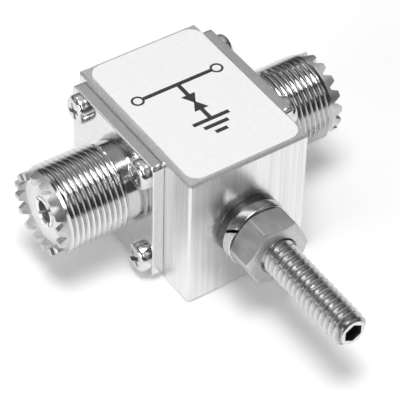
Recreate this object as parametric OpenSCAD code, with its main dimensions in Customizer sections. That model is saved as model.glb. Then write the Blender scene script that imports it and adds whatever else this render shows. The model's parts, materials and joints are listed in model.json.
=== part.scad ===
// In-line coaxial surge arrestor: a machined block with a threaded coaxial socket on two
// opposite faces, a gas discharge tube inside, and a grounding stud on the front face.
// Origin: on the block's bottom face, straight below the middle of the socket axis.
// X runs along the two sockets, -Y along the stud, Z up. Millimetres.

/* [Block] */
// Width of the block, from one socket face to the other
block_w = 23.8; // [23:0.1:36]
// Depth of the block from the socket axis to the stud face
block_front = 20.2; // [16:0.1:26]
// Depth of the block from the socket axis to the back face
block_back = 14.2; // [13.2:0.1:20]
// Height of the block
block_h = 27.2; // [26.6:0.1:36]
// Chamfer on every outer edge of the block
block_chamfer = 0.4; // [0.2:0.05:0.8]

/* [Label] */
// Width of the label along X
label_w = 22.2; // [12:0.1:22.6]
// Length of the label along Y
label_len = 32.8; // [16:0.1:33]
// Corner radius of the label
label_r = 2.6; // [0.5:0.1:4]
// Thickness of the label
label_t = 0.15; // [0.05:0.01:0.3]
// How far the label sits off the block's middle along X
label_shift = 0.3; // [-0.3:0.05:0.3]

/* [Socket shell] */
// Side of the square flange
flange_side = 25.4; // [24.8:0.1:26]
// Thickness of the flange
flange_t = 2.2; // [1.6:0.1:3.2]
// Corner radius of the flange
flange_r = 1; // [0.5:0.1:2.5]
// Crest diameter of the coupling thread, 5/8 inch
coupling_d = 15.875; // [15.5:0.005:16.2]
// Length of the barrel from the flange to the rim
barrel_len = 15; // [12:0.1:20]
// Length of the plain neck between the flange and the thread
neck_len = 1.2; // [0.6:0.1:2]
// Diameter of the plain neck
neck_d = 14.4; // [13.8:0.1:15]
// Length of the plain nose that carries the rim teeth
nose_len = 2; // [1.6:0.1:3]
// Diameter of the plain nose
nose_d = 14.9; // [14.2:0.1:15.4]
// Number of teeth round the rim
tooth_count = 16; // [12:1:20]
// Depth of the gaps between the teeth
tooth_depth = 1.3; // [0.8:0.1:1.5]
// Width of a gap at the rim
gap_mouth = 1.8; // [1.2:0.1:1.9]
// Width of a gap at its root
gap_root = 0.5; // [0.2:0.1:0.8]
// Bore of the barrel
barrel_bore_d = 12.4; // [11.6:0.1:12.8]
// Diameter of the boss that enters the block
boss_d = 12; // [11.4:0.1:12.6]
// Length of the boss
boss_len = 3; // [1.5:0.1:4]
// Bore of the boss
boss_bore_d = 9.6; // [8:0.1:10]
// Height of the insulator's seat above the flange's back face
insulator_seat = 1; // [0.6:0.1:1.4]

/* [Insulator and contact] */
// How far the insulator's face lies below the rim
insulator_recess = 1.5; // [1.4:0.1:3]
// How far the insulator stands out behind the boss
insulator_tail = 1; // [0.4:0.1:1.6]
// Outer diameter of the contact
contact_d = 5.6; // [5:0.1:6]
// Bore of the contact, for a plug's pin
socket_d = 4; // [3.9:0.05:4.2]
// Depth of the contact's bore
socket_depth = 10.5; // [8:0.1:11]
// How far the contact stands proud of the insulator
contact_proud = 0.3; // [0:0.1:0.6]
// Lead-in chamfer at the contact's mouth
contact_chamfer = 0.3; // [0.1:0.05:0.5]
// Height of the contact's shoulder above the flange's back face
contact_seat = 4; // [3:0.1:4.5]
// Width of the slots that make the contact springy
slot_w = 0.5; // [0.3:0.05:0.7]
// Length of those slots
slot_len = 7; // [4:0.5:8]
// Outer diameter of the solder cup
cup_d = 3.4; // [3:0.1:4]
// Bore of the solder cup
cup_bore_d = 2.5; // [2.3:0.05:2.7]
// Depth of the solder cup
cup_depth = 3.5; // [2:0.1:4]
// How far the cup's mouth lies behind the flange's back face
cup_reach = 6; // [5:0.1:7]

/* [Flange screws] */
// Spacing of the screws, the same both ways
screw_spacing = 19.3; // [18.2:0.05:19.4]
// Diameter of the screw shank
screw_d = 2.84; // [2.5:0.02:3]
// Length of the shank under the head
screw_len = 9.5; // [6:0.5:10]
// Diameter of the screw head
head_d = 5.4; // [5:0.1:6]
// Height of the screw head
head_h = 1.7; // [1.6:0.1:2.4]
// Rounding of the head's outer edge
head_round = 0.9; // [0.3:0.1:1.2]
// Length of the cross recess from tip to tip
recess_len = 3; // [2:0.1:3.4]
// Width of the cross recess
recess_w = 0.8; // [0.5:0.05:1]
// Depth of the cross recess
recess_depth = 1.1; // [0.6:0.1:1.3]

/* [Inside] */
// Thickness of the conductor strip
strip_t = 1.5; // [1:0.05:1.6]
// Height of the conductor strip
strip_h = 4; // [3:0.1:6]
// Diameter of the gas tube's metal caps
tube_d = 5; // [4.4:0.1:5.2]
// Length of the gas tube over both caps
tube_len = 4.8; // [4:0.1:6]
// Thickness of each cap
cap_t = 0.8; // [0.5:0.05:1]
// Diameter of the gas tube's ceramic
ceramic_d = 4.6; // [4:0.1:4.8]

/* [Ground stud] */
// How far the stud's axis lies below the socket axis
stud_drop = 0.7; // [0:0.1:1.5]
// Crest diameter of the stud, 1/4 inch
stud_d = 6.35; // [6:0.01:6.5]
// Pitch diameter of the stud, where it is held in the block and under the nut
stud_pitch_d = 5.52; // [5.2:0.01:5.6]
// Pitch of the stud's thread, 20 turns to the inch
stud_pitch = 1.27; // [1:0.01:1.6]
// Length of the stud, 1 3/4 inch
stud_len = 44.45; // [40:0.05:52]
// Chamfer at both ends of the stud
stud_chamfer = 0.8; // [0.4:0.1:1]
// Width across the flats of the hex socket, 1/8 inch
hex_socket = 3.175; // [2.8:0.005:3.3]
// Depth of the hex socket
hex_depth = 4; // [2:0.1:5]
// Outer diameter of the flat washer
flat_washer_d = 12.2; // [11:0.1:14]
// Thickness of the flat washer
flat_washer_t = 1.6; // [0.8:0.05:2]
// Outer diameter of the split lock washer
lock_washer_d = 12.4; // [11:0.1:13]
// Thickness of the split lock washer
lock_washer_t = 1.96; // [1.2:0.01:2.4]
// Width of the split
split_w = 0.5; // [0.4:0.1:1.4]
// Lean of the split from the washer's axis, in degrees
split_lean = 30; // [10:5:40]
// Place of the split round the stud, in degrees from +X towards +Z
split_place = 150; // [0:1:359]
// Width of the nut across its flats, 7/16 inch
nut_flats = 11.11; // [10:0.01:12.7]
// Thickness of the nut
nut_t = 5.56; // [4:0.01:6.5]
// Diameter of the nut's round end faces, inside its chamfered corners
nut_face_d = 10.7; // [9:0.1:10.9]
// Turn of the nut's corners round the stud, in degrees
nut_turn = -4; // [-30:1:30]

/* [Clearances] */
// Radial gap between pieces that are held still in each other
held_gap = 0.05; // [0.03:0.01:0.08]
// Radial gap between the nut and the stud it turns on
thread_gap = 0.05; // [0.02:0.01:0.1]
// Radial gap between the washers and the stud
washer_gap = 0.15; // [0.05:0.01:0.3]
// Radial gap of the flange's holes round the screws
screw_gap = 0.25; // [0.1:0.01:0.4]
// Gap left at the end of a blind hole or a tongue
end_gap = 0.3; // [0.1:0.05:0.6]

/* [Hidden] */
$fn = 64;
LEFT = 180;
RIGHT = 0;

// Heights along a socket's own axis, counted outwards from the block's face
axis_h = block_h / 2;
rim_z = flange_t + barrel_len;
nose_z = rim_z - nose_len;
thread_start_z = flange_t + neck_len;
crest_low_z = thread_start_z + (coupling_d - neck_d) / 2;
crest_high_z = nose_z - (coupling_d - nose_d) / 2;
face_z = rim_z - insulator_recess;
contact_tip_z = face_z + contact_proud;
socket_floor_z = contact_tip_z - socket_depth;
cup_floor_z = cup_depth - cup_reach;
screw_hole_depth = screw_len - flange_t + end_gap;

// Places along the stud, counted from the socket axis towards the stud's tip
tube_foot = strip_t / 2;
tube_head = tube_foot + tube_len;
stud_tip = tube_head + stud_len;
flat_washer_y = block_front;
lock_washer_y = flat_washer_y + flat_washer_t;
nut_y = lock_washer_y + lock_washer_t;
nut_end = nut_y + nut_t;

// Radii that follow from a fit
cross_bore_r = boss_d / 2 + held_gap;
stud_hole_r = stud_pitch_d / 2 + held_gap;
washer_bore_r = stud_d / 2 + washer_gap;
nut_bore_r = stud_d / 2 + thread_gap;
nut_corner_r = nut_flats / sqrt(3);

// Shape of a 60 degree thread's groove, as shares of its pitch
groove_depth = 0.613;
groove_root = 0.167;
groove_mouth = groove_root + 2 * groove_depth * tan(30);

// Small amount by which a cut runs past the face it opens
over = 1;

// Puts a socket's own axis, local Z, outwards from the block's left or right face
module at_side(turn) {
    translate([0, 0, axis_h])
        rotate([0, 0, turn])
            translate([block_w / 2, 0, 0])
                rotate([0, 90, 0])
                    children();
}

// Puts local Z along the stud, counted from the socket axis towards the tip
module along_stud(y) {
    translate([0, -y, axis_h - stud_drop])
        rotate([90, 0, 0])
            children();
}

// Repeats a piece at the four screw places of a flange
module at_screws() {
    for (sx = [-1, 1], sy = [-1, 1])
        translate([sx * screw_spacing / 2, sy * screw_spacing / 2, 0])
            children();
}

// Half section of one ring groove in a cylinder of radius r
function groove_points(r, pitch, z) = [
    [r, z - groove_mouth * pitch / 2],
    [r - groove_depth * pitch, z - groove_root * pitch / 2],
    [r - groove_depth * pitch, z + groove_root * pitch / 2],
    [r, z + groove_mouth * pitch / 2]
];

// Half section of a thread as ring grooves, one to a pitch, as many as fit between two heights
function thread_points(r, pitch, low, high) =
    let (
        count = floor((high - low) / pitch + 1 - groove_mouth),
        first = (low + high - (count - 1) * pitch) / 2
    )
    [for (i = [0 : count - 1]) each groove_points(r, pitch, first + i * pitch)];

// Rectangle with its corners cut at 45 degrees
module chamfered_rectangle(w, h, c) {
    polygon([
        [-w / 2 + c, -h / 2], [w / 2 - c, -h / 2], [w / 2, -h / 2 + c], [w / 2, h / 2 - c],
        [w / 2 - c, h / 2], [-w / 2 + c, h / 2], [-w / 2, h / 2 - c], [-w / 2, -h / 2 + c]
    ]);
}

// Rectangle with round corners
module rounded_rectangle(w, h, r) {
    square([w - 2 * r, h], center = true);
    square([w, h - 2 * r], center = true);
    for (sx = [-1, 1], sy = [-1, 1])
        translate([sx * (w / 2 - r), sy * (h / 2 - r)])
            circle(r);
}

// Box with every edge chamfered, standing on Z = 0
module chamfered_box(w, d, h, c) {
    intersection() {
        linear_extrude(h)
            chamfered_rectangle(w, d, c);
        translate([-w / 2, 0, h / 2])
            rotate([90, 0, 90])
                linear_extrude(w)
                    chamfered_rectangle(d, h, c);
        translate([0, d / 2, h / 2])
            rotate([90, 0, 0])
                linear_extrude(d)
                    chamfered_rectangle(w, h, c);
    }
}

module body_block() {
    color("silver")
        difference() {
            translate([0, (block_back - block_front) / 2, 0])
                chamfered_box(block_w, block_front + block_back, block_h, block_chamfer);
            translate([-block_w / 2 - over, 0, axis_h])
                rotate([0, 90, 0])
                    cylinder(r = cross_bore_r, h = block_w + 2 * over);
            along_stud(0)
                cylinder(r = stud_hole_r, h = block_front + over);
            for (turn = [LEFT, RIGHT])
                at_side(turn)
                    at_screws()
                        translate([0, 0, -screw_hole_depth])
                            cylinder(d = screw_d + 2 * held_gap, h = screw_hole_depth + over);
        }
}

module label() {
    color("white")
        translate([label_shift, (block_back - block_front) / 2, block_h])
            linear_extrude(label_t)
                rounded_rectangle(label_w, label_len, label_r);
}

// One gap between two rim teeth, cut along local X
module rim_gap() {
    translate([0, 0, rim_z])
        rotate([90, 0, 90])
            linear_extrude(nose_d)
                polygon([
                    [-gap_root / 2, -tooth_depth], [gap_root / 2, -tooth_depth],
                    [gap_mouth / 2, 0], [gap_mouth / 2, over],
                    [-gap_mouth / 2, over], [-gap_mouth / 2, 0]
                ]);
}

// Turned outline of the shell: boss, neck, coupling thread as a plain cylinder at its crests,
// nose, barrel bore and seat
module turned_shell() {
    rotate_extrude()
        polygon([
            [boss_bore_d / 2, -boss_len],
            [boss_d / 2, -boss_len],
            [boss_d / 2, 0],
            [neck_d / 2, 0],
            [neck_d / 2, thread_start_z],
            [coupling_d / 2, crest_low_z],
            [coupling_d / 2, crest_high_z],
            [nose_d / 2, nose_z],
            [nose_d / 2, rim_z],
            [barrel_bore_d / 2, rim_z],
            [barrel_bore_d / 2, insulator_seat],
            [boss_bore_d / 2, insulator_seat]
        ]);
}

module socket_shell(turn) {
    color("gainsboro")
        at_side(turn)
            difference() {
                union() {
                    linear_extrude(flange_t)
                        difference() {
                            rounded_rectangle(flange_side, flange_side, flange_r);
                            circle(d = (barrel_bore_d + neck_d) / 2);
                            at_screws()
                                circle(d = screw_d + 2 * screw_gap);
                        }
                    turned_shell();
                }
                for (i = [0 : tooth_count - 1])
                    rotate([0, 0, i * 360 / tooth_count])
                        rim_gap();
            }
}

module insulator(turn) {
    color("white")
        at_side(turn)
            rotate_extrude()
                polygon([
                    [cup_d / 2 + held_gap, -boss_len - insulator_tail],
                    [boss_bore_d / 2 - held_gap, -boss_len - insulator_tail],
                    [boss_bore_d / 2 - held_gap, insulator_seat],
                    [barrel_bore_d / 2 - held_gap, insulator_seat],
                    [barrel_bore_d / 2 - held_gap, face_z],
                    [contact_d / 2 + held_gap, face_z],
                    [contact_d / 2 + held_gap, contact_seat],
                    [cup_d / 2 + held_gap, contact_seat]
                ]);
}

module center_contact(turn) {
    color("lightgray")
        at_side(turn)
            difference() {
                rotate_extrude()
                    polygon([
                        [0, socket_floor_z],
                        [socket_d / 2, socket_floor_z],
                        [socket_d / 2, contact_tip_z - contact_chamfer],
                        [socket_d / 2 + contact_chamfer, contact_tip_z],
                        [contact_d / 2, contact_tip_z],
                        [contact_d / 2, contact_seat],
                        [cup_d / 2, contact_seat],
                        [cup_d / 2, -cup_reach],
                        [cup_bore_d / 2, -cup_reach],
                        [cup_bore_d / 2, cup_floor_z],
                        [0, cup_floor_z]
                    ]);
                for (a = [45, 135])
                    rotate([0, 0, a])
                        translate([-contact_d, -slot_w / 2, contact_tip_z - slot_len])
                            cube([2 * contact_d, slot_w, slot_len + over]);
            }
}

// Pan head screw with a cross recess, head down to shank tip along -Z
module pan_screw() {
    difference() {
        union() {
            rotate_extrude() {
                square([head_d / 2 - head_round, head_h]);
                square([head_d / 2, head_h - head_round]);
                translate([head_d / 2 - head_round, head_h - head_round])
                    intersection() {
                        circle(head_round);
                        square(head_round);
                    }
            }
            translate([0, 0, -screw_len])
                cylinder(d = screw_d, h = screw_len + head_h / 4);
        }
        for (a = [0, 90])
            rotate([0, 0, a])
                translate([-recess_len / 2, -recess_w / 2, head_h - recess_depth])
                    cube([recess_len, recess_w, recess_depth + over]);
    }
}

module flange_screws(turn) {
    color("lightgray")
        at_side(turn)
            translate([0, 0, flange_t])
                at_screws()
                    pan_screw();
}

// Flat strip soldered between the two cups, with a narrow tongue at each end
module center_conductor() {
    body_len = block_w - 2 * (cup_reach + end_gap);
    tongue_len = block_w + 2 * (cup_floor_z - end_gap);
    color("goldenrod")
        translate([0, 0, axis_h]) {
            cube([body_len, strip_t, strip_h], center = true);
            cube([tongue_len, strip_t, strip_t], center = true);
        }
}

module gas_tube_inner_cap() {
    color("lightgray")
        along_stud(tube_foot)
            cylinder(d = tube_d, h = cap_t);
}

module gas_tube_ceramic() {
    color("ivory")
        along_stud(tube_foot + cap_t)
            cylinder(d = ceramic_d, h = tube_len - 2 * cap_t);
}

module gas_tube_outer_cap() {
    color("lightgray")
        along_stud(tube_head - cap_t)
            cylinder(d = tube_d, h = cap_t);
}

// Set screw: drawn at its pitch diameter where it is held, with its thread where it is free
module ground_stud() {
    held_r = stud_pitch_d / 2;
    free_r = stud_d / 2;
    free_end = stud_tip - stud_chamfer;
    color("silver")
        along_stud(0)
            difference() {
                rotate_extrude()
                    polygon([
                        [0, tube_head],
                        [held_r - stud_chamfer, tube_head],
                        [held_r, tube_head + stud_chamfer],
                        [held_r, nut_end],
                        [free_r, nut_end],
                        each thread_points(free_r, stud_pitch, nut_end, free_end),
                        [free_r, free_end],
                        [free_r - stud_chamfer, stud_tip],
                        [0, stud_tip]
                    ]);
                translate([0, 0, stud_tip - hex_depth])
                    cylinder(d = hex_socket * 2 / sqrt(3), h = hex_depth + over, $fn = 6);
            }
}

module flat_washer() {
    color("silver")
        along_stud(flat_washer_y)
            difference() {
                cylinder(d = flat_washer_d, h = flat_washer_t);
                translate([0, 0, -over])
                    cylinder(r = washer_bore_r, h = flat_washer_t + 2 * over);
            }
}

module lock_washer() {
    color("silver")
        along_stud(lock_washer_y)
            difference() {
                cylinder(d = lock_washer_d, h = lock_washer_t);
                translate([0, 0, -over])
                    cylinder(r = washer_bore_r, h = lock_washer_t + 2 * over);
                rotate([0, 0, split_place])
                    translate([lock_washer_d / 4, 0, lock_washer_t / 2])
                        rotate([split_lean, 0, 0])
                            cube([lock_washer_d / 2 + over, split_w, 4 * lock_washer_t], center = true);
            }
}

// Hex nut with its corners turned off at both ends and its bore countersunk
module ground_nut() {
    outside_r = nut_corner_r + over;
    corner_drop = (outside_r - nut_face_d / 2) / sqrt(3);
    sink = (stud_d - stud_pitch_d) / 2;
    color("silver")
        along_stud(nut_y)
            difference() {
                intersection() {
                    rotate([0, 0, nut_turn])
                        cylinder(r = nut_corner_r, h = nut_t, $fn = 6);
                    rotate_extrude()
                        polygon([
                            [0, 0],
                            [nut_face_d / 2, 0],
                            [outside_r, corner_drop],
                            [outside_r, nut_t - corner_drop],
                            [nut_face_d / 2, nut_t],
                            [0, nut_t]
                        ]);
                }
                rotate_extrude()
                    polygon([
                        [0, -over],
                        [nut_bore_r + sink + over, -over],
                        [nut_bore_r, sink],
                        [nut_bore_r, nut_t - sink],
                        [nut_bore_r + sink + over, nut_t + over],
                        [0, nut_t + over]
                    ]);
            }
}

body_block();
label();
socket_shell(LEFT);  // left_socket_shell
insulator(LEFT);  // left_insulator
center_contact(LEFT);  // left_center_contact
flange_screws(LEFT);  // left_flange_screws
socket_shell(RIGHT);  // right_socket_shell
insulator(RIGHT);  // right_insulator
center_contact(RIGHT);  // right_center_contact
flange_screws(RIGHT);  // right_flange_screws
center_conductor();
gas_tube_inner_cap();
gas_tube_ceramic();
gas_tube_outer_cap();
ground_stud();
flat_washer();
lock_washer();
ground_nut();
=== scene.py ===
# %% [markdown]
# An in-line coaxial lightning arrestor, dressed for its portrait. The machined solids come in as a
# fixed frame: nothing here moves or resizes them. This lesson gives each surface its finish, and
# models again the pieces whose looks live in fine detail: threads, rim teeth, screw heads, the nut.

# %% Load the frame
import json
import math

import bmesh
import bpy
from mathutils import Matrix, Vector


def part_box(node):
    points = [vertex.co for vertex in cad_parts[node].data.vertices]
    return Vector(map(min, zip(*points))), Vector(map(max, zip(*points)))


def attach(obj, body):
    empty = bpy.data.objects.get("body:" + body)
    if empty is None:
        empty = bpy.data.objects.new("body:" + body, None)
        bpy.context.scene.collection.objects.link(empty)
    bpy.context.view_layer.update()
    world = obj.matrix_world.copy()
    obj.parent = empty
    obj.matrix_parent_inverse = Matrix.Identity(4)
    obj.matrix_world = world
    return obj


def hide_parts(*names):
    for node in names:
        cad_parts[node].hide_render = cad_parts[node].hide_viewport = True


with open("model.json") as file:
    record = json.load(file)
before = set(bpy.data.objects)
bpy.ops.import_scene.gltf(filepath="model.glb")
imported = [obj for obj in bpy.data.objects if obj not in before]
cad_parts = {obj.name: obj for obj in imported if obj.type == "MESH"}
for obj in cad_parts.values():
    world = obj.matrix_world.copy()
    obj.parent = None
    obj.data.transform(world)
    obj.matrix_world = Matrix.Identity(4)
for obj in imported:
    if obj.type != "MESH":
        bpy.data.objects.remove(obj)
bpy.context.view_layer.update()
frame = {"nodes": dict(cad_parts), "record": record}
nodes = frame["nodes"]

# %% [markdown]
# The frame is in metres, but an object this small is easier to think about in millimetres. So every
# piece is modelled in millimetres and scaled as it is laid in place. The places that the rest hangs
# on are read from the frame: the block's faces, the two axes and the ends of the stud's pieces.

# %% Measure the frame
MM = 0.001


def box_mm(node):
    """A node's lowest and highest corner, in millimetres."""
    return tuple(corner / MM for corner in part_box(node))


shell_low, shell_high = box_mm("right_socket_shell")
mounts = {mount["name"]: mount for mount in frame["record"]["mounts"]}
socket_height = mounts["right_coupling_thread"]["pos_m"][2] / MM
stud_height = mounts["ground_stud"]["pos_m"][2] / MM
side_face = box_mm("body_block")[1].x
rim_height = shell_high.x - side_face
print("socket axis at %.2f mm, stud axis at %.2f mm" % (socket_height, stud_height))

# %% [markdown]
# Two turned frames do the placing. A piece is modelled standing on Z, and one matrix lays it along a
# socket or along the stud. Each point could be worked out in its final place instead, but then both
# sockets would have to be written out. The right socket points to +X and the left one to -X. Along a
# socket, Z = 0 is the block's side face. Along the stud, it is the middle of the block.

# %% Frames for the sockets and the stud
SIDES = {"left": math.pi, "right": 0.0}


def socket_matrix(side):
    """Lays a piece that stands on Z along one of the sockets."""
    turn = Matrix.Rotation(SIDES[side], 4, "Z")
    outwards = Matrix.Translation((side_face, 0, 0)) @ Matrix.Rotation(math.pi / 2, 4, "Y")
    return Matrix.Translation((0, 0, socket_height)) @ turn @ outwards


STUD_MATRIX = Matrix.Translation((0, 0, stud_height)) @ Matrix.Rotation(math.pi / 2, 4, "X")


def along_stud(node):
    """Where a node starts and ends along the stud."""
    low, high = box_mm(node)
    return -high.y, -low.y


print("nut from %.2f to %.2f mm along the stud" % along_stud("ground_nut"))

# %% [markdown]
# The camera stands where the photographer stood: above the front left corner, with a long lens. A
# long lens keeps the block's edges almost parallel. It could be placed by eye, but these numbers were
# fitted to the block's corners, so that the two pictures can be laid over each other. The picture is
# taken as 400 pixels square, and the focal length is given in those pixels, which a 36 mm wide sensor
# turns into millimetres.

# %% Camera
IMAGE_PIXELS = 400
FOCAL_PIXELS = 2229.4
CAMERA_AZIMUTH = math.radians(-34.85)
CAMERA_ELEVATION = math.radians(44.09)
CAMERA_ROLL = math.radians(1.51)
CAMERA_DISTANCE = 394.16 * MM
CAMERA_TARGET = Vector((2.69, -2.16, 2.19)) * MM
CLIP_START = 10 * MM

camera_data = bpy.data.cameras.new("camera")
camera_data.lens = camera_data.sensor_width * FOCAL_PIXELS / IMAGE_PIXELS
camera_data.clip_start = CLIP_START
camera = bpy.data.objects.new("camera", camera_data)
bpy.context.scene.collection.objects.link(camera)
level = math.cos(CAMERA_ELEVATION)
towards_camera = Vector((
    math.sin(CAMERA_AZIMUTH) * level,
    -math.cos(CAMERA_AZIMUTH) * level,
    math.sin(CAMERA_ELEVATION),
))
facing = (-towards_camera).to_track_quat("-Z", "Y").to_matrix().to_4x4()
camera.matrix_world = (
    Matrix.Translation(CAMERA_TARGET + towards_camera * CAMERA_DISTANCE)
    @ facing
    @ Matrix.Rotation(CAMERA_ROLL, 4, "Z")
)
bpy.context.scene.camera = camera
bpy.context.scene.view_settings.view_transform = "Standard"
print("camera at", [round(c / MM, 1) for c in camera.location], "mm, lens %.1f mm" % camera_data.lens)

# %% [markdown]
# Shiny metal shows the room more than itself, so the room is built first, and its largest piece is a
# white table. More light would make it white too, but it would burn out the metal and the label. So the
# table gets a little glow of its own where it is seen, directly or in a reflection, and it still takes
# the shadow.

# %% White table
FLOOR_SIZE = 6.0
FLOOR_TONE = (0.98, 0.98, 0.98, 1)
FLOOR_GLOW = 0.1
FLOOR_ROUGHNESS = 0.9


def new_material(name):
    """A node material, with its tree and its surface shader."""
    material = bpy.data.materials.new(name)
    material.use_nodes = True
    return material, material.node_tree, material.node_tree.nodes["Principled BSDF"]


def math_node(tree, operation, first, second):
    """One step of arithmetic on two outputs, or on an output and a number."""
    node = tree.nodes.new("ShaderNodeMath")
    node.operation = operation
    for socket, value in zip(node.inputs, (first, second)):
        if isinstance(value, (int, float)):
            socket.default_value = value
        else:
            tree.links.new(value, socket)
    return node.outputs[0]


table_white, tree, shader = new_material("table_white")
shader.inputs["Base Color"].default_value = FLOOR_TONE
shader.inputs["Roughness"].default_value = FLOOR_ROUGHNESS
shader.inputs["Specular IOR Level"].default_value = 0.0
shader.inputs["Emission Color"].default_value = (1, 1, 1, 1)
ray = tree.nodes.new("ShaderNodeLightPath").outputs
seen = math_node(tree, "MAXIMUM", ray["Is Camera Ray"], ray["Is Glossy Ray"])
seen = math_node(tree, "MAXIMUM", seen, ray["Is Transmission Ray"])
tree.links.new(math_node(tree, "MULTIPLY", seen, FLOOR_GLOW), shader.inputs["Emission Strength"])

floor_mesh = bpy.data.meshes.new("floor")
bm = bmesh.new()
bmesh.ops.create_grid(bm, x_segments=1, y_segments=1, size=FLOOR_SIZE / 2)
bm.to_mesh(floor_mesh)
bm.free()
floor_mesh.materials.append(table_white)
floor = bpy.data.objects.new("floor", floor_mesh)
bpy.context.scene.collection.objects.link(floor)
print("table of", FLOOR_SIZE, "m")

# %% [markdown]
# Metal is lit by what it mirrors. A panorama of a studio could light it, but lamps can be moved one by
# one. A softbox gives most of the light: it hangs overhead, a little to the front left, and throws the
# soft shadow. The others are small, each for one reflection: the strip draws the bright line along the
# barrels, the back one the beads on the stud, the side one the block's upper edge, the front one the
# glint on the spring washer. A weak card keeps the dark sides from going black, and the fill whitens
# the insulator. The sky is a gradient, pale above and behind and dim elsewhere.

# %% Lights and sky
LIGHT_DISTANCE = 0.75
LIGHTS = {
    "softbox": ((0.32, 0.32), 3.2, (-0.12, -0.13, 0.98)),
    "strip": ((0.6, 0.12), 0.24, (0.42, -0.03, 0.91)),
    "back": ((0.25, 0.1), 0.17, (0.05, 0.59, 0.8)),
    "side": ((0.25, 0.2), 0.11, (-0.72, 0.56, 0.41)),
    "front": ((0.2, 0.3), 0.38, (-0.22, -0.66, 0.72)),
    "card": ((0.6, 0.4), 0.26, (0.41, -0.7, 0.59)),
    "fill": ((0.3, 0.2), 1.8, (-0.92, -0.15, 0.33)),
}
SKY_UP = (0.1, 0.5, 0.86)
SKY_REACH = (0.55, 1.0)
SKY_TONES = (0.05, 0.56)


def add_light(name, size, watts, direction):
    """A flat light that looks at the origin; its size is its width and its depth."""
    data = bpy.data.lights.new(name, "AREA")
    data.shape = "RECTANGLE"
    data.size, data.size_y = size
    data.energy = watts
    light = bpy.data.objects.new(name, data)
    bpy.context.scene.collection.objects.link(light)
    towards = Vector(direction).normalized()
    light.matrix_world = (
        Matrix.Translation(towards * LIGHT_DISTANCE)
        @ towards.to_track_quat("Z", "Y").to_matrix().to_4x4()
    )


def vary(tree, source, low, high, socket, reach):
    """Lets an output move a shader input between two values while it runs over its reach."""
    spread = tree.nodes.new("ShaderNodeMapRange")
    spread.inputs["From Min"].default_value = reach[0]
    spread.inputs["From Max"].default_value = reach[1]
    spread.inputs["To Min"].default_value = low
    spread.inputs["To Max"].default_value = high
    tree.links.new(source, spread.inputs["Value"])
    tree.links.new(spread.outputs["Result"], socket)


for name, (size, watts, direction) in LIGHTS.items():
    add_light(name, size, watts, direction)

world = bpy.data.worlds.new("sky")
world.use_nodes = True
tree = world.node_tree
background = tree.nodes["Background"]
background.inputs["Color"].default_value = (1, 1, 1, 1)
height = tree.nodes.new("ShaderNodeVectorMath")
height.operation = "DOT_PRODUCT"
height.inputs[1].default_value = SKY_UP
tree.links.new(tree.nodes.new("ShaderNodeTexCoord").outputs["Generated"], height.inputs[0])
vary(tree, height.outputs["Value"], *SKY_TONES, background.inputs["Strength"], SKY_REACH)
bpy.context.scene.world = world
print("lights:", ", ".join(LIGHTS), "sky from %.2f to %.2f" % SKY_TONES)

# %% [markdown]
# Now the finishes. No bare metal is one even grey: milling leaves streaks, plating leaves faint
# clouds. A picture of metal could be wrapped round the pieces, but it would show its seams. Here both
# come from one noise that is stretched along the marks. It reads Object coordinates, which for these
# pieces are metres in the frame, so a streak has a real width.

# %% Helpers for finishes
NOISE_RANGE = (0.3, 0.7)
NOISE_DETAIL = 3.0
THREAD_CLOUDS = (700, 700, 700)


def noise_on(tree, cells):
    """A noise with so many cells to the metre along X, Y and Z."""
    place = tree.nodes.new("ShaderNodeTexCoord")
    stretch = tree.nodes.new("ShaderNodeMapping")
    stretch.inputs["Scale"].default_value = cells
    noise = tree.nodes.new("ShaderNodeTexNoise")
    noise.inputs["Scale"].default_value = 1.0
    noise.inputs["Detail"].default_value = NOISE_DETAIL
    tree.links.new(place.outputs["Object"], stretch.inputs["Vector"])
    tree.links.new(stretch.outputs["Vector"], noise.inputs["Vector"])
    return noise.outputs[0]


def roughen(tree, source, height, shader):
    """Raises the surface by a noise; height is in metres."""
    relief = tree.nodes.new("ShaderNodeBump")
    relief.inputs["Distance"].default_value = height
    tree.links.new(source, relief.inputs["Height"])
    tree.links.new(relief.outputs["Normal"], shader.inputs["Normal"])


def metal(name, tone, roughness, marks, clouds, depth, tint=(1, 1, 1)):
    """Bare metal: marks vary its tone and its surface, broad clouds vary its gloss."""
    material, tree, shader = new_material(name)
    shader.inputs["Metallic"].default_value = 1.0
    grain = noise_on(tree, marks)
    tinted = tree.nodes.new("ShaderNodeVectorMath")
    tinted.operation = "SCALE"
    tinted.inputs["Vector"].default_value = tint
    vary(tree, grain, *tone, tinted.inputs["Scale"], NOISE_RANGE)
    tree.links.new(tinted.outputs["Vector"], shader.inputs["Base Color"])
    vary(tree, noise_on(tree, clouds), *roughness, shader.inputs["Roughness"], NOISE_RANGE)
    roughen(tree, grain, depth, shader)
    return material


def shaded_thread_metal(name, tone, roughness, across, height, root, crest):
    """Threaded metal with painted shade: darkest at the root of the groove, lightest on the crest."""
    material, tree, shader = new_material(name)
    shader.inputs["Metallic"].default_value = 1.0
    vary(tree, noise_on(tree, THREAD_CLOUDS), *roughness, shader.inputs["Roughness"], NOISE_RANGE)
    place = tree.nodes.new("ShaderNodeTexCoord")
    from_axis = tree.nodes.new("ShaderNodeVectorMath")
    from_axis.operation = "SUBTRACT"
    from_axis.inputs[1].default_value = (0, 0, height * MM)
    flat = tree.nodes.new("ShaderNodeVectorMath")
    flat.operation = "MULTIPLY"
    flat.inputs[1].default_value = across
    radius = tree.nodes.new("ShaderNodeVectorMath")
    radius.operation = "LENGTH"
    tree.links.new(place.outputs["Object"], from_axis.inputs[0])
    tree.links.new(from_axis.outputs["Vector"], flat.inputs[0])
    tree.links.new(flat.outputs["Vector"], radius.inputs[0])
    # Painted shade: the tone runs from dark at the groove's root radius to light at the crest radius.
    vary(tree, radius.outputs["Value"], *tone, shader.inputs["Base Color"], (root * MM, crest * MM))
    return material


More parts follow.
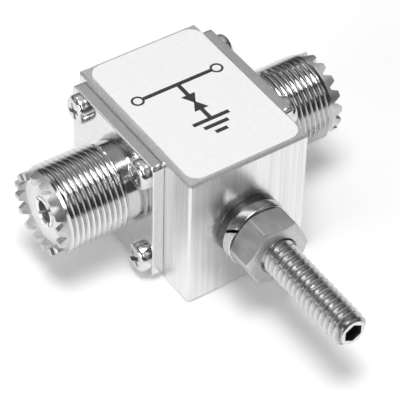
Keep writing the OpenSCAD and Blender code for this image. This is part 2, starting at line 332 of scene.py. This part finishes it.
def plastic(name, tone, roughness, cells, depth):
    """A moulded or printed surface with a faint grain."""
    material, tree, shader = new_material(name)
    grain = noise_on(tree, cells)
    vary(tree, grain, *tone, shader.inputs["Base Color"], NOISE_RANGE)
    vary(tree, grain, *roughness, shader.inputs["Roughness"], NOISE_RANGE)
    roughen(tree, grain, depth, shader)
    return material


print("noise is read from %.1f to %.1f" % NOISE_RANGE)

# %% [markdown]
# The block is milled aluminium with upright streaks. The shells are bright nickel, almost a mirror, and
# a little duller on the rim, which every plug scrapes. Screws and nut are zinc plated steel. The flat
# washer is painted near-black as painted shade, the spring washer is bright, and the threads carry painted
# shade in their grooves, the stud's most. The insulators and the label film are the only surfaces outside
# that aren't metal. One line per finish lets them be compared: tone, roughness, then the cells to the
# metre of marks and clouds, and the depth in metres.

# %% Finishes
aluminium = metal("milled_aluminium", (0.72, 0.86), (0.26, 0.36), (2600, 2600, 50), (90, 90, 40), 2e-6)
nickel = metal("bright_nickel", (0.7, 0.77), (0.1, 0.16), (900, 900, 900), (150, 150, 150), 5e-7)
rim_nickel = metal("rim_nickel", (0.52, 0.66), (0.26, 0.38), (900, 900, 900), (300, 300, 300), 2e-6)
screw_zinc = metal("screw_zinc", (0.66, 0.78), (0.14, 0.26), (1500, 1500, 1500), (500, 500, 500), 2e-6)
nut_zinc = metal("nut_zinc", (0.5, 0.62), (0.36, 0.48), (1400, 300, 1400), (300, 300, 300), 3e-6)
# The flat washer is painted near-black: painted shade where it sits between the block and the spring washer.
shaded_flat_steel = metal("shaded_flat_steel", (0.1, 0.15), (0.25, 0.38), (1600, 1600, 1600), (300, 300, 300), 2e-6)
spring_steel = metal("spring_steel", (0.62, 0.72), (0.1, 0.16), (1600, 1600, 1600), (300, 300, 300), 2e-6)
stud_steel = metal("stud_steel", (0.66, 0.8), (0.18, 0.3), (1500, 1500, 1500), (260, 260, 260), 2e-6)
contact_silver = metal("contact_silver", (0.8, 0.9), (0.28, 0.4), (60, 1800, 1800), (400, 400, 400), 1e-6)
# Near-black walls for the hex socket: painted shade down the hole.
socket_shade = plastic("socket_shade", (0.01, 0.03), (0.5, 0.7), (2500, 2500, 2500), 2e-6)
insulator_white = plastic("insulator_white", (0.9, 0.94), (0.35, 0.5), (700, 700, 700), 2e-6)
label_film = plastic("label_film", (0.87, 0.91), (0.3, 0.42), (1200, 1200, 1200), 1e-6)
print_ink = plastic("print_ink", (0.02, 0.04), (0.35, 0.5), (2000, 2000, 2000), 1e-6)
strip_brass = metal(
    "strip_brass", (0.65, 0.77), (0.25, 0.4), (60, 1500, 1500), (300, 300, 300), 1e-6, tint=(1, 0.75, 0.35)
)
tube_ceramic = plastic("tube_ceramic", (0.78, 0.84), (0.5, 0.7), (900, 900, 900), 2e-6)
tube_tin = metal("tube_tin", (0.6, 0.7), (0.3, 0.45), (800, 800, 800), (300, 300, 300), 1e-6)
print("materials so far:", len(bpy.data.materials))

# %% [markdown]
# Solids whose shape is already right keep their mesh and only change clothes. The pieces inside the
# block are dressed too: nobody sees them in this picture, but someone may open the block.

# %% Dress the solids that stay
DRESS = {
    "body_block": aluminium,
    "label": label_film,
    "left_insulator": insulator_white,
    "right_insulator": insulator_white,
    "left_center_contact": contact_silver,
    "right_center_contact": contact_silver,
    "center_conductor": strip_brass,
    "gas_tube_inner_cap": tube_tin,
    "gas_tube_ceramic": tube_ceramic,
    "gas_tube_outer_cap": tube_tin,
}
for node, material in DRESS.items():
    nodes[node].data.materials.clear()
    nodes[node].data.materials.append(material)
print("dressed:", ", ".join(DRESS))

# %% [markdown]
# A finished mesh has to end up as an object. One helper merges what the operators left double, turns
# the faces outwards, lays the piece in place and shades it. Weighted normals keep a flat face flat
# beside a small bevel, which is what makes an edge catch the light in one clean line.

# %% Helper for pieces
MERGE = 1e-4
SHARP = math.radians(40)


def add_piece(name, bm, place, materials, body, replaced=None):
    """Turns a bmesh of millimetres into an object that rides on a body."""
    bmesh.ops.remove_doubles(bm, verts=bm.verts, dist=MERGE)
    bmesh.ops.recalc_face_normals(bm, faces=bm.faces)
    bmesh.ops.transform(bm, matrix=Matrix.Scale(MM, 4) @ place, verts=bm.verts)
    open_edges = sum(not edge.is_manifold for edge in bm.edges)
    mesh = bpy.data.meshes.new(name)
    bm.to_mesh(mesh)
    bm.free()
    for material in materials:
        mesh.materials.append(material)
    mesh.shade_smooth()
    mesh.set_sharp_from_angle(angle=SHARP)
    piece = bpy.data.objects.new(name, mesh)
    bpy.context.scene.collection.objects.link(piece)
    weighted = piece.modifiers.new("flat_faces", "WEIGHTED_NORMAL")
    weighted.keep_sharp = True
    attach(piece, body)
    if replaced:
        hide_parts(replaced)
    print(name, len(mesh.polygons), "faces,", open_edges, "open edges")
    return piece


def verts_of(geometry):
    """The vertices in what an operator made."""
    return [item for item in geometry if isinstance(item, bmesh.types.BMVert)]


print("edges are sharp from %.0f degrees" % math.degrees(SHARP))

# %% [markdown]
# Most of these pieces were turned on a lathe, and Spin is Blender's lathe: half a section, carried
# once round Z. Stacked cylinders would do too, but each shoulder would need a join. The corners of the
# section can be rounded first, while it is still a bare wire.

# %% The lathe
TURN_STEPS = 96
FULL_TURN = 2 * math.pi
ROUND_SEGMENTS = 4


def bevel(bm, geom, width, segments, affect="EDGES"):
    """Rounds edges, or the corners of a wire or a face."""
    return bmesh.ops.bevel(
        bm, geom=geom, offset=width, affect=affect, segments=segments, profile=0.5, material=-1
    )


def edges_at(verts):
    """The edges that meet in some vertices, each once and in a fixed order."""
    return list(dict.fromkeys(edge for v in verts for edge in v.link_edges))


def section(bm, outline, closed=False, rounded=(), radius=0.0):
    """Draws half a section from (radius, height) pairs, with some corners rounded."""
    verts = [bm.verts.new((r, 0, z)) for r, z in outline]
    ring = verts + verts[:1] if closed else verts
    edges = [bm.edges.new(pair) for pair in zip(ring, ring[1:])]
    if rounded:
        corners = [verts[i] for i in rounded]
        made = bevel(bm, corners, radius, ROUND_SEGMENTS, affect="VERTICES")
        verts = [v for v in verts if v.is_valid] + made["verts"]
        edges = edges_at(verts)
    return verts + edges


def lathe(bm, wire, steps=TURN_STEPS, angle=FULL_TURN):
    """Carries a section round Z."""
    bmesh.ops.spin(
        bm, geom=wire, cent=(0, 0, 0), axis=(0, 0, 1), angle=angle, steps=steps, use_merge=angle == FULL_TURN
    )
    bmesh.ops.remove_doubles(bm, verts=bm.verts, dist=MERGE)


def open_rims(bm, height, reach=0.1):
    """The open edges that lie near a height."""
    return [e for e in bm.edges if e.is_boundary and all(abs(v.co.z - height) < reach for v in e.verts)]


def fill(bm, edges):
    """Covers what lies between flat loops."""
    bmesh.ops.triangle_fill(bm, use_beauty=True, use_dissolve=False, edges=edges)


print("lathe with", TURN_STEPS, "steps to the turn")


# %% [markdown]
# A screw thread is a section that climbs while it turns, and Spin can climb too. The Screw modifier
# winds a thread as well, but its ends stay ragged. Here one turn of the groove is wound up, then copied
# pitch by pitch and merged. A plane trims each end, and the crests are turned down there at 45 degrees,
# as a lathe tool would do it before the thread is cut.

# %% The thread
THREAD_DEPTH = 0.613
THREAD_FORM = [(0, 0), (0.08, 0.11), (0.92, 0.41), (1, 0.45), (1, 0.55), (0.92, 0.59), (0.08, 0.89), (0, 1)]


def thread_root(crest, pitch):
    """Radius of a thread at the bottom of its groove."""
    return crest - THREAD_DEPTH * pitch


def wind_thread(bm, crest, pitch, low, high, low_end, high_end):
    """Winds a right-hand thread in an empty bmesh; its crests run down to the end radii."""
    root = thread_root(crest, pitch)
    start = low - 2 * pitch
    outline = [(root + rise * (crest - root), start + along * pitch) for rise, along in THREAD_FORM]
    bmesh.ops.spin(
        bm, geom=section(bm, outline), cent=(0, 0, 0), axis=(0, 0, 1), angle=FULL_TURN,
        steps=TURN_STEPS, dvec=(0, 0, pitch / TURN_STEPS),
    )
    one_turn = bm.verts[:] + bm.edges[:] + bm.faces[:]
    for i in range(1, math.ceil((high - start) / pitch) + 1):
        copied = bmesh.ops.duplicate(bm, geom=one_turn)["geom"]
        bmesh.ops.translate(bm, verts=verts_of(copied), vec=(0, 0, i * pitch))
    bmesh.ops.remove_doubles(bm, verts=bm.verts, dist=MERGE)
    for height, outwards in ((low, -1), (high, 1)):
        bmesh.ops.bisect_plane(
            bm, geom=bm.verts[:] + bm.edges[:] + bm.faces[:], dist=MERGE,
            plane_co=(0, 0, height), plane_no=(0, 0, outwards), clear_outer=True,
        )
    for v in bm.verts:
        limit = min(low_end + v.co.z - low, high_end + high - v.co.z)
        shrink = min(1.0, limit / v.co.xy.length)
        v.co.x *= shrink
        v.co.y *= shrink


print("thread depth %.3f of the pitch" % THREAD_DEPTH)

# %% [markdown]
# The socket shells are the showpiece: a square flange, a plain neck, a barrel with a 5/8 inch thread
# of 24 turns to the inch, and a nose whose rim is cut into teeth. One long section can't make it,
# because a thread climbs and a tooth stands alone. So thread, neck and nose are turned one after the
# other, and Bridge Loops closes the seams between them.

# %% Sizes of a socket shell
FLANGE_SIDE = shell_high.y - shell_low.y
FLANGE_THICK = 2.2
FLANGE_CORNER = 1.0
FLANGE_BEVEL = 0.2
NECK_RADIUS = 7.2
NECK_LENGTH = 1.2
NOSE_RADIUS = 7.45
NOSE_LENGTH = 2.0
BORE_RADIUS = 6.2
INSULATOR_SEAT = 1.0
BOSS_RADIUS = 6.0
BOSS_BORE = 4.8
COUPLING_PITCH = 25.4 / 24
SEAM = 0.06

coupling_radius = mounts["right_coupling_thread"]["dims"]["r_mm"]
boss_end = shell_low.x - side_face
thread_start = FLANGE_THICK + NECK_LENGTH
nose_start = rim_height - NOSE_LENGTH
coupling_root = thread_root(coupling_radius, COUPLING_PITCH)
# The barrel thread's tone is painted shade: darker in the grooves, lighter on the crests.
nickel_thread = shaded_thread_metal(
    "nickel_thread", (0.46, 0.78), (0.13, 0.2), (0, 1, 1), socket_height, coupling_root, coupling_radius
)
print("barrel crest radius %.3f mm, rim %.1f mm out" % (coupling_radius, rim_height))

# %% [markdown]
# The teeth of the rim keep a plug from turning. On the real shell a cutter takes out the gaps, and a
# Boolean could do that here, but it leaves slivers all round. So the teeth are raised from a ring: the
# ring's quads that belong to a tooth are extruded in one go, and the new tips are drawn together so
# that each tooth is a wedge. A tiny bevel breaks the tips.

# %% Rim teeth
TOOTH_COUNT = 16
TOOTH_DEPTH = 1.3
RIM_STEPS = 12 * TOOTH_COUNT
GAP_STEPS = 2
TIP_SHARE = 0.46
TIP_BEVEL = 0.1
TIP_SEGMENTS = 2

tooth_root = rim_height - TOOTH_DEPTH
tooth_turn = FULL_TURN / TOOTH_COUNT
print("%d teeth, roots %.2f mm out" % (TOOTH_COUNT, tooth_root))


def around(point):
    """Angle of a point round Z."""
    return math.atan2(point.y, point.x)


def tooth_middle(angle):
    """Middle angle of the tooth that an angle falls in."""
    return (math.floor(angle / tooth_turn) + 0.5) * tooth_turn


def raise_teeth(bm):
    """Extrudes the teeth from the ring of faces at their roots."""
    half_tooth = tooth_turn / 2 * (1 - GAP_STEPS * TOOTH_COUNT / RIM_STEPS)
    ring = [f for f in bm.faces if all(abs(v.co.z - tooth_root) < MERGE for v in f.verts)]
    teeth = []
    for face in ring:
        angle = around(face.calc_center_median())
        if abs(angle - tooth_middle(angle)) < half_tooth:
            teeth.append(face)
    raised = bmesh.ops.extrude_face_region(bm, geom=teeth)["geom"]
    bmesh.ops.delete(bm, geom=teeth, context="FACES")
    for v in verts_of(raised):
        angle = around(v.co)
        drawn = (tooth_middle(angle) - angle) * (1 - TIP_SHARE)
        v.co = Matrix.Rotation(drawn, 3, "Z") @ v.co
        v.co.z = rim_height
    tips = [e for e in bm.edges if all(abs(v.co.z - rim_height) < MERGE for v in e.verts)]
    bevel(bm, [e for e in tips if e.calc_face_angle(0) > SHARP], TIP_BEVEL, TIP_SEGMENTS)


# %% [markdown]
# The flange is a plate with round corners, four screw holes and room for the neck. A cube with holes
# cut by Booleans is the obvious way, but loops give cleaner edges for a bevel. The outline and the holes
# are drawn as loops, Triangle Fill covers what lies between them, and an extrusion makes it solid. The
# wall in the neck's hole is taken out, because the barrel closes it.

# %% Flange
SCREW_SPACING = 19.3
SCREW_HOLE = 1.67
SCREW_PLACES = [(sx * SCREW_SPACING / 2, sy * SCREW_SPACING / 2) for sx in (-1, 1) for sy in (-1, 1)]
HOLE_STEPS = 24
CORNER_SEGMENTS = 8
EDGE_SEGMENTS = 3


def flange_plate():
    """The flange with its holes, open where the neck joins it."""
    bm = bmesh.new()
    bmesh.ops.create_grid(bm, x_segments=1, y_segments=1, size=FLANGE_SIDE / 2)
    bevel(bm, bm.verts[:], FLANGE_CORNER, CORNER_SEGMENTS, affect="VERTICES")
    bmesh.ops.delete(bm, geom=bm.faces[:], context="FACES_ONLY")
    bmesh.ops.create_circle(bm, segments=TURN_STEPS, radius=NECK_RADIUS)
    for x, y in SCREW_PLACES:
        hole_place = Matrix.Translation((x, y, 0))
        bmesh.ops.create_circle(bm, segments=HOLE_STEPS, radius=SCREW_HOLE, matrix=hole_place)
    fill(bm, bm.edges[:])
    raised = bmesh.ops.extrude_face_region(bm, geom=bm.faces[:])["geom"]
    bmesh.ops.translate(bm, verts=verts_of(raised), vec=(0, 0, FLANGE_THICK))
    neck_wall = [f for f in bm.faces if all(abs(v.co.xy.length - NECK_RADIUS) < MERGE for v in f.verts)]
    bmesh.ops.delete(bm, geom=neck_wall, context="FACES")
    bmesh.ops.recalc_face_normals(bm, faces=bm.faces)
    outer = [e for e in bm.edges if all(v.co.xy.length > FLANGE_SIDE / 2 - MERGE for v in e.verts)]
    sharp = [e for e in outer if e.is_manifold and e.calc_face_angle() > SHARP]
    bevel(bm, sharp, FLANGE_BEVEL, EDGE_SEGMENTS)
    return bm


def take_in(bm, other):
    """Adds another bmesh to this one."""
    carrier = bpy.data.meshes.new("carrier")
    other.to_mesh(carrier)
    other.free()
    bm.from_mesh(carrier)
    bpy.data.meshes.remove(carrier)


print("flange of %.1f mm, screws %.1f mm apart" % (FLANGE_SIDE, SCREW_SPACING))

# %% [markdown]
# Now the shell comes together as one skin. The order matters: each turned piece leaves an open rim, and
# Bridge Loops needs exactly two of them to close a seam. Material numbers tell the thread and the rim
# from the rest, so that each can have its own finish.

# %% Put a shell together
def socket_shell():
    """Thread, neck, nose with bore and boss, teeth and flange, joined into one skin."""
    bm = bmesh.new()
    wind_thread(bm, coupling_radius, COUPLING_PITCH, thread_start, nose_start, coupling_root, NOSE_RADIUS)
    for face in bm.faces:
        face.material_index = 1
    lathe(bm, section(bm, [(NECK_RADIUS, FLANGE_THICK), (NECK_RADIUS, thread_start)]))
    bmesh.ops.bridge_loops(bm, edges=open_rims(bm, thread_start))
    inside = [
        (NOSE_RADIUS, nose_start + SEAM),
        (NOSE_RADIUS, tooth_root),
        (BORE_RADIUS, tooth_root),
        (BORE_RADIUS, INSULATOR_SEAT),
        (BOSS_BORE, INSULATOR_SEAT),
        (BOSS_BORE, boss_end),
        (BOSS_RADIUS, boss_end),
        (BOSS_RADIUS, 0),
    ]
    lathe(bm, section(bm, inside), steps=RIM_STEPS)
    bmesh.ops.bridge_loops(bm, edges=open_rims(bm, nose_start))
    raise_teeth(bm)
    for face in bm.faces:
        if face.calc_center_median().z > nose_start + SEAM:
            face.material_index = 2
    take_in(bm, flange_plate())
    bmesh.ops.bridge_loops(bm, edges=open_rims(bm, 0))
    return bm


for side in SIDES:
    add_piece(
        side + "_threaded_shell", socket_shell(), socket_matrix(side), [nickel, nickel_thread, rim_nickel],
        "block", side + "_socket_shell",
    )

# %% [markdown]
# Each flange is held by four pan head screws with a cross recess. A bump could fake the cross, but it
# would look flat from the side. So the head and shank are turned, and the flat middle of the head is
# left open. A cross is drawn in it, the gap is filled, and the cross is pressed down and drawn in, as
# the punch leaves it. No two screws stop at the same angle.

# %% Flange screws
screw_low, screw_high = box_mm("right_flange_screws")
HEAD_RADIUS = 2.7
HEAD_ROUND = 0.9
HEAD_FLAT = 1.75
SHANK_RADIUS = 1.42
SHANK_TIP = 0.5
ARM_LENGTH = 1.5
ARM_WIDTH = 0.42
RECESS_DEPTH = 1.1
RECESS_TAPER = 0.55
SCREW_STEPS = 40
SCREW_TURNS = {"left": (20, 62, 8, 35), "right": (51, 15, 74, 28)}

head_top = screw_high.x - side_face - FLANGE_THICK
shank_end = screw_low.x - side_face - FLANGE_THICK


def pan_screw():
    """One screw, its head standing on Z = 0."""
    bm = bmesh.new()
    outline = [
        (HEAD_FLAT, head_top),
        (HEAD_RADIUS, head_top),
        (HEAD_RADIUS, 0),
        (SHANK_RADIUS, 0),
        (SHANK_RADIUS, shank_end + SHANK_TIP),
        (SHANK_RADIUS - SHANK_TIP, shank_end),
        (0, shank_end),
    ]
    lathe(bm, section(bm, outline, rounded=[1], radius=HEAD_ROUND), steps=SCREW_STEPS)
    arm = [(ARM_LENGTH, -ARM_WIDTH), (ARM_LENGTH, ARM_WIDTH), (ARM_WIDTH, ARM_WIDTH)]
    corners = [Matrix.Rotation(quarter * math.pi / 2, 2) @ Vector(p) for quarter in range(4) for p in arm]
    cross = [bm.verts.new((p.x, p.y, head_top)) for p in corners]
    edges = [bm.edges.new(pair) for pair in zip(cross, cross[1:] + cross[:1])]
    fill(bm, open_rims(bm, head_top) + edges)
    pressed = bmesh.ops.extrude_edge_only(bm, edges=edges)["geom"]
    bmesh.ops.scale(bm, verts=verts_of(pressed), vec=(RECESS_TAPER, RECESS_TAPER, 1))
    bmesh.ops.translate(bm, verts=verts_of(pressed), vec=(0, 0, -RECESS_DEPTH))
    fill(bm, open_rims(bm, head_top - RECESS_DEPTH))
    return bm


for side in SIDES:
    screws = bmesh.new()
    for (x, y), turn in zip(SCREW_PLACES, SCREW_TURNS[side]):
        screw = pan_screw()
        place = Matrix.Translation((x, y, FLANGE_THICK)) @ Matrix.Rotation(math.radians(turn), 4, "Z")
        bmesh.ops.transform(screw, matrix=place, verts=screw.verts)
        take_in(screws, screw)
    add_piece(
        side + "_pan_screws", screws, socket_matrix(side), [screw_zinc],
        "block", side + "_flange_screws",
    )

# %% [markdown]
# The stud is a long set screw, threaded from end to end with 20 turns to the inch. Its tip has a
# chamfer and a hex socket, which is pressed in by extruding six edges, so the rest of the tip stays
# flat. The socket looks black: light that goes down the hole hardly comes back. Its walls get a
# near-black finish of their own, which is painted shade.

# %% Grounding stud
STUD_PITCH = 25.4 / 20
TIP_RADIUS = 2.375
HEX_FLATS = 3.175
HEX_DEPTH = 4.0
HEX_CONE = HEX_FLATS / 4
HEX_FLOOR_SHARE = 0.3

stud_radius = mounts["ground_stud"]["dims"]["r_mm"]
stud_foot, stud_tip = along_stud("ground_stud")
# The stud's thread is painted darker than the barrels', with painted shade deepest in its grooves.
stud_thread = shaded_thread_metal(
    "stud_thread", (0.34, 0.7), (0.24, 0.34), (1, 0, 1),
    stud_height, thread_root(stud_radius, STUD_PITCH), stud_radius,
)


def grounding_stud():
    """The threaded rod, with a hex socket in its tip."""
    bm = bmesh.new()
    wind_thread(bm, stud_radius, STUD_PITCH, stud_foot, stud_tip, TIP_RADIUS, TIP_RADIUS)
    for face in bm.faces:
        face.material_index = 1
    fill(bm, open_rims(bm, stud_foot))
    tip_rim = open_rims(bm, stud_tip)
    hexagon = bmesh.ops.create_circle(
        bm, segments=6, radius=HEX_FLATS / math.sqrt(3), matrix=Matrix.Translation((0, 0, stud_tip))
    )["verts"]
    hex_edges = edges_at(hexagon)
    fill(bm, tip_rim + hex_edges)
    outside = set(bm.faces)
    for drop, share in ((HEX_DEPTH, 1.0), (HEX_CONE, HEX_FLOOR_SHARE)):
        pressed = bmesh.ops.extrude_edge_only(bm, edges=hex_edges)["geom"]
        bmesh.ops.translate(bm, verts=verts_of(pressed), vec=(0, 0, -drop))
        bmesh.ops.scale(bm, verts=verts_of(pressed), vec=(share, share, 1))
        hex_edges = [e for e in pressed if isinstance(e, bmesh.types.BMEdge) and e.is_boundary]
    bmesh.ops.contextual_create(bm, geom=hex_edges)
    for face in set(bm.faces) - outside:
        face.material_index = 2
    return bm


add_piece(
    "threaded_stud", grounding_stud(), STUD_MATRIX, [stud_steel, stud_thread, socket_shade],
    "block", "ground_stud",
)

# %% [markdown]
# A hex nut is turned at both ends before its flats are seen: that is why each flat ends in an arc.
# Here it goes the other way round. A ring is turned, its outer rows are pushed out to the hexagon,
# and each point drops by as much as a 30 degree cone would take off there. The arcs come by themselves.

# %% Hex nut
NUT_FLATS = 11.11
NUT_FACE = 5.35
NUT_TURN = math.radians(-4)
NUT_STEPS = 72
NUT_SINK = 0.415
NUT_GAP = 0.05
CORNER_BEVEL = 0.25

nut_start, nut_end = along_stud("ground_nut")
nut_corner = NUT_FLATS / math.sqrt(3)


def hex_radius(angle):
    """Distance from the axis to the hexagon's edge at an angle."""
    return NUT_FLATS / 2 / math.cos(angle % (math.pi / 3) - math.pi / 6)


def hex_nut():
    """The nut, turned, pushed out to a hexagon and broken at its corners."""
    bm = bmesh.new()
    thick = nut_end - nut_start
    bore = stud_radius + NUT_GAP
    outline = [
        (bore, NUT_SINK),
        (bore + NUT_SINK, 0),
        (NUT_FACE, 0),
        (nut_corner, NUT_SINK),
        (nut_corner, thick - NUT_SINK),
        (NUT_FACE, thick),
        (bore + NUT_SINK, thick),
        (bore, thick - NUT_SINK),
    ]
    lathe(bm, section(bm, outline, closed=True), steps=NUT_STEPS)
    for v in bm.verts:
        if v.co.xy.length > NUT_FACE + MERGE:
            angle = around(v.co)
            radius = hex_radius(angle)
            drop = (radius - NUT_FACE) * math.tan(math.pi / 6)
            height = drop if v.co.z < thick / 2 else thick - drop
            v.co = (radius * math.cos(angle), radius * math.sin(angle), height)
    corners = [e for e in bm.edges if all(v.co.xy.length > nut_corner - MERGE for v in e.verts)]
    bevel(bm, corners, CORNER_BEVEL, EDGE_SEGMENTS)
    bmesh.ops.translate(bm, verts=bm.verts, vec=(0, 0, nut_start))
    return bm


nut_place = STUD_MATRIX @ Matrix.Rotation(NUT_TURN, 4, "Z")
add_piece("hex_nut", hex_nut(), nut_place, [nut_zinc], "nut", "ground_nut")

# %% [markdown]
# Two washers sit under the nut. The flat one is a stamped ring with softened edges. The spring one is
# a ring that doesn't quite close. A slot cut from a whole ring would have raw edges, so it is spun a
# little less than all the way and its ends are capped. A twist leans the split as it leans on the real
# washer, so that its edges bite when the nut backs off.

# %% Washers
WASHER_GAP = 0.15
WASHER_BORE = stud_radius + WASHER_GAP
WASHER_EDGE = 0.2
SPLIT_WIDTH = 0.5
SPLIT_LEAN = math.radians(30)
SPLIT_PLACE = math.radians(150)


def washer_section(bm, radius, thick):
    """Half a section of a washer with soft edges."""
    outline = [(WASHER_BORE, 0), (radius, 0), (radius, thick), (WASHER_BORE, thick)]
    return section(bm, outline, closed=True, rounded=[0, 1, 2, 3], radius=WASHER_EDGE)


def washer_radius(node):
    """Outer radius of a washer."""
    low, high = box_mm(node)
    return (high.z - low.z) / 2


def plain_washer():
    """The flat washer."""
    bm = bmesh.new()
    near, far = along_stud("flat_washer")
    lathe(bm, washer_section(bm, washer_radius("flat_washer"), far - near))
    bmesh.ops.translate(bm, verts=bm.verts, vec=(0, 0, near))
    return bm


def spring_washer():
    """The split washer: most of a turn, capped at both ends and twisted."""
    bm = bmesh.new()
    near, far = along_stud("lock_washer")
    radius = washer_radius("lock_washer")
    middle = (WASHER_BORE + radius) / 2
    gap = SPLIT_WIDTH / middle
    lathe(bm, washer_section(bm, radius, far - near), angle=FULL_TURN - gap)
    bmesh.ops.holes_fill(bm, edges=[e for e in bm.edges if e.is_boundary])
    for v in bm.verts:
        lean = (v.co.z - (far - near) / 2) * math.tan(SPLIT_LEAN) / middle
        v.co = Matrix.Rotation(SPLIT_PLACE + gap / 2 - lean, 3, "Z") @ v.co
    bmesh.ops.translate(bm, verts=bm.verts, vec=(0, 0, near))
    return bm


add_piece(
    "plain_washer", plain_washer(), STUD_MATRIX, [shaded_flat_steel], "block", "flat_washer"
)
add_piece(
    "split_washer", spring_washer(), STUD_MATRIX, [spring_steel],
    "spring_washer", "lock_washer",
)

# %% [markdown]
# The label carries a plain circuit drawing: the line that runs from socket to socket, a spark gap and
# the earth sign. It says what the part does in any language. A pattern in the film's material could
# draw it too, but meshes keep sharp edges at any distance. The strokes are bars, rings and triangles,
# lifted by a hair so that they lie on the film as ink does.

# %% Label print
INK_THICK = 0.02
STROKE = 0.8
label_low, label_high = box_mm("label")
label_middle = (label_low + label_high) / 2
BARS = [
    (0, 5, 13.6, STROKE),
    (0, 3.2, STROKE, 2.8),
    (0, -3.6, STROKE, 2.4),
    (0, -5.2, 7.2, STROKE),
    (0, -6.8, 4.8, STROKE),
    (0, -8.4, 2.4, STROKE),
]
RINGS = [(-8, 5), (8, 5)]
RING_RADIUS = 1.2
RING_STEPS = 32
ARROW_RADIUS = 1.6
ARROWS = [(1.0, math.pi), (-1.6, 0.0)]


def circuit_print():
    """The drawing's strokes, as thin raised shapes."""
    bm = bmesh.new()
    for x, y, width, height in BARS:
        bmesh.ops.create_grid(
            bm, x_segments=1, y_segments=1, size=0.5,
            matrix=Matrix.Translation((x, y, 0)) @ Matrix.Diagonal((width, height, 1, 1)),
        )
    for x, y in RINGS:
        rims = []
        for radius in (RING_RADIUS, RING_RADIUS - STROKE / 2):
            made = bmesh.ops.create_circle(
                bm, segments=RING_STEPS, radius=radius, matrix=Matrix.Translation((x, y, 0))
            )
            rims += edges_at(made["verts"])
        bmesh.ops.bridge_loops(bm, edges=rims)
    for y, turn in ARROWS:
        bmesh.ops.create_circle(
            bm, cap_ends=True, segments=3, radius=ARROW_RADIUS,
            matrix=Matrix.Translation((0, y, 0)) @ Matrix.Rotation(turn, 4, "Z"),
        )
    raised = bmesh.ops.extrude_face_region(bm, geom=bm.faces[:])["geom"]
    bmesh.ops.translate(bm, verts=verts_of(raised), vec=(0, 0, INK_THICK))
    return bm


print_place = Matrix.Translation((label_middle.x, label_middle.y, label_high.z))
add_piece("label_print", circuit_print(), print_place, [print_ink], "block")
